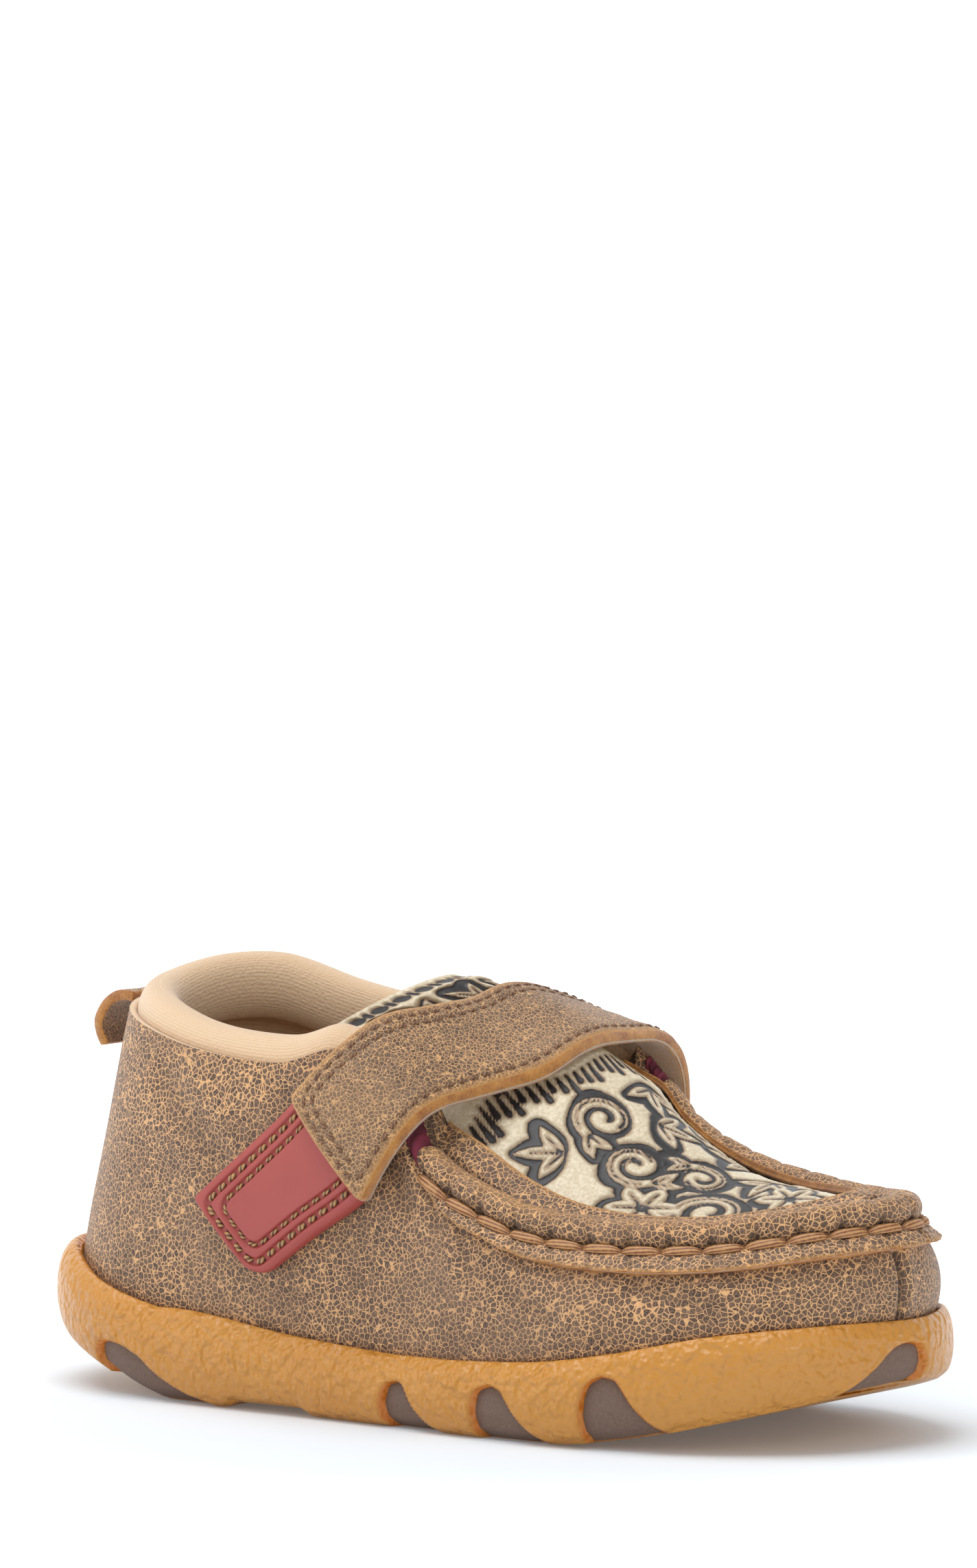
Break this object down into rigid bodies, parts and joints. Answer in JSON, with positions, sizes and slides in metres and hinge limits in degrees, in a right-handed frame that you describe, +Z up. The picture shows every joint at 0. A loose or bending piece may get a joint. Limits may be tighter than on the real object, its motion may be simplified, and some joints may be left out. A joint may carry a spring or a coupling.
{
  "type": "driving moccasin",
  "caption": "Toddler's right driving moccasin: leather upper with a strap over a tooled plug and tongue, on a gum rubber cup sole.",
  "frame": {"origin": "on the ground plane, halfway along the sole and on its centre line", "axes": "+X towards the toe, +Y towards the medial side, +Z up"},
  "size_m": [0.142, 0.0603, 0.0606],
  "materials": {
    "gum_rubber": "moulded gum rubber, fine pebble on the side",
    "pod_rubber": "matt taupe rubber",
    "brown_leather": "distressed brown leather with fine crackle",
    "rim_leather": "distressed brown leather, raw tan edges",
    "strap_leather": "distressed brown leather, raw tan edges",
    "tooled_leather": "ivory leather with dark tooled scrolls",
    "collar_knit": "beige ribbed knit",
    "footbed": "beige textile",
    "end_rubber": "matt red rubber with stitched frames",
    "gore_elastic": "burgundy elastic",
    "tab_leather": "tan suede side out, dark cloth inside"
  },
  "bodies": {
    "root": {"sole": "gum_rubber", "upper": "brown_leather", "apron_rim": "rim_leather", "strap": "strap_leather", "plug_tongue": "tooled_leather", "collar_pad": "collar_knit", "insole": "footbed", "strap_end": "end_rubber", "gore_lateral": "gore_elastic", "gore_medial": "gore_elastic", "pull_tab": "tab_leather", "pod_heel_lateral": "pod_rubber", "pod_heel_medial": "pod_rubber", "pod_waist_lateral": "pod_rubber", "pod_waist_medial": "pod_rubber", "pod_middle_lateral": "pod_rubber", "pod_middle_medial": "pod_rubber", "pod_ball_lateral": "pod_rubber", "pod_ball_medial": "pod_rubber", "pod_toe_lateral": "pod_rubber"}
  },
  "joints": []
}
